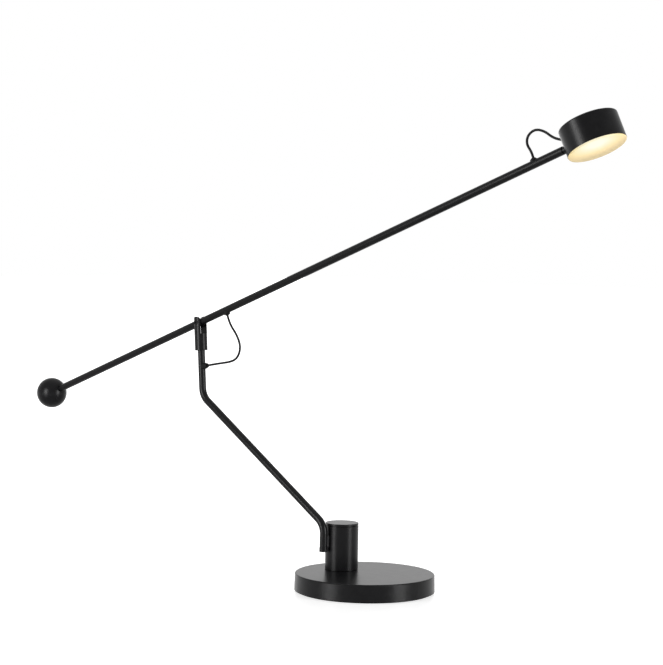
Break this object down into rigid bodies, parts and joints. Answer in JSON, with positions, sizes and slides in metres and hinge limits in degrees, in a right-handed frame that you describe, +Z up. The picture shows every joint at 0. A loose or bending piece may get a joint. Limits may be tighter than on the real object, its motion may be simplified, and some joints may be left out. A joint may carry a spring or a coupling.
{
  "type": "counterweight balance desk lamp",
  "caption": "Desk lamp with a round base, an off-centre post, a bent stem with a slotted fork, and a long tilting arm that carries a ball weight and a drum-shaped head.",
  "frame": {"origin": "centre of the round base on the surface it stands on", "axes": "+Z up, +X level from the base towards the lamp head, in the plane the arm tilts in; the stem stands on the -Y side of the post"},
  "size_m": [1.0274, 0.181, 0.6058],
  "materials": {
    "coated_steel": "matte black powder coat",
    "coated_aluminium": "matte black powder coat",
    "bright_steel": "plain",
    "bare_aluminium": "plain",
    "brass": "plain",
    "black_rubber": "matt",
    "cord_sheath": "matt",
    "black_plastic": "matt",
    "white_plastic": "matt",
    "opal_plastic": "opal, lit from behind",
    "board": "printed board",
    "white_board": "white coated board with a metal core",
    "chip_yellow": "phosphor",
    "copper_coil": "coil"
  },
  "bodies": {
    "base": {"base_disc": "coated_steel", "base_cover": "coated_steel", "cover_screws": "bright_steel", "foot_pad": "black_rubber", "power_inlet": "black_plastic", "inlet_nut": "bright_steel", "swivel_stud": "bright_steel", "swivel_slide_washer": "white_plastic", "swivel_spring_washer": "bright_steel", "swivel_nut": "bright_steel", "swivel_stop_pin": "bright_steel"},
    "post": {"post_shell": "coated_steel", "dimmer_board": "board", "board_screws": "bright_steel", "switch_body": "black_plastic", "choke_coil": "copper_coil", "stem_tube": "coated_steel", "stem_ferrule": "coated_aluminium", "stem_saddle": "coated_steel", "stem_insert": "bright_steel", "stem_screws": "bright_steel", "stem_lead": "cord_sheath", "stem_grommet": "black_rubber", "stem_fork": "coated_steel", "fork_grub_screw": "bright_steel", "pivot_pin": "coated_steel", "pivot_nut": "coated_steel", "friction_washer_near": "black_plastic", "friction_washer_far": "black_plastic", "pivot_cord": "cord_sheath"},
    "cap": {"press_cap": "coated_aluminium", "switch_plunger": "white_plastic"},
    "arm": {"arm_tube": "coated_aluminium", "pivot_bush": "brass", "arm_lead": "cord_sheath", "rear_grommet": "black_rubber", "front_grommet": "black_rubber", "counterweight_ball": "coated_steel", "ball_grub_screw": "bright_steel", "tilt_knuckle": "coated_aluminium", "head_cord": "cord_sheath"},
    "head": {"head_shell": "coated_aluminium", "cord_relief": "black_rubber", "tilt_pin": "bright_steel", "tilt_spring_washer": "bright_steel", "heat_sink": "bare_aluminium", "sink_screws": "bright_steel", "light_board": "white_board", "light_chips": "chip_yellow", "reflector": "white_plastic", "diffuser": "opal_plastic"}
  },
  "joints": [
    {"name": "post_swivel", "type": "hinge", "parent": "base", "child": "post", "pos_m": [-0.041, 0, 0.03], "axis": [0, 0, 1], "range_deg": [-160, 160]},
    {"name": "cap_press", "type": "slide", "parent": "post", "child": "cap", "axis": [0, 0, -1], "range_m": [0, 0.0006], "stiffness_N_per_m": 1500, "springref_m": -0.001},
    {"name": "arm_tilt", "type": "hinge", "parent": "post", "child": "arm", "pos_m": [-0.28625, -0.02705, 0.3355], "axis": [0, -1, 0], "range_deg": [-36, 25], "deforming": ["pivot_cord"]},
    {"name": "head_tilt", "type": "hinge", "parent": "arm", "child": "head", "pos_m": [0.33156, -0.02705, 0.56281], "axis": [0, -1, 0], "range_deg": [-31, 18], "deforming": ["head_cord"]}
  ]
}
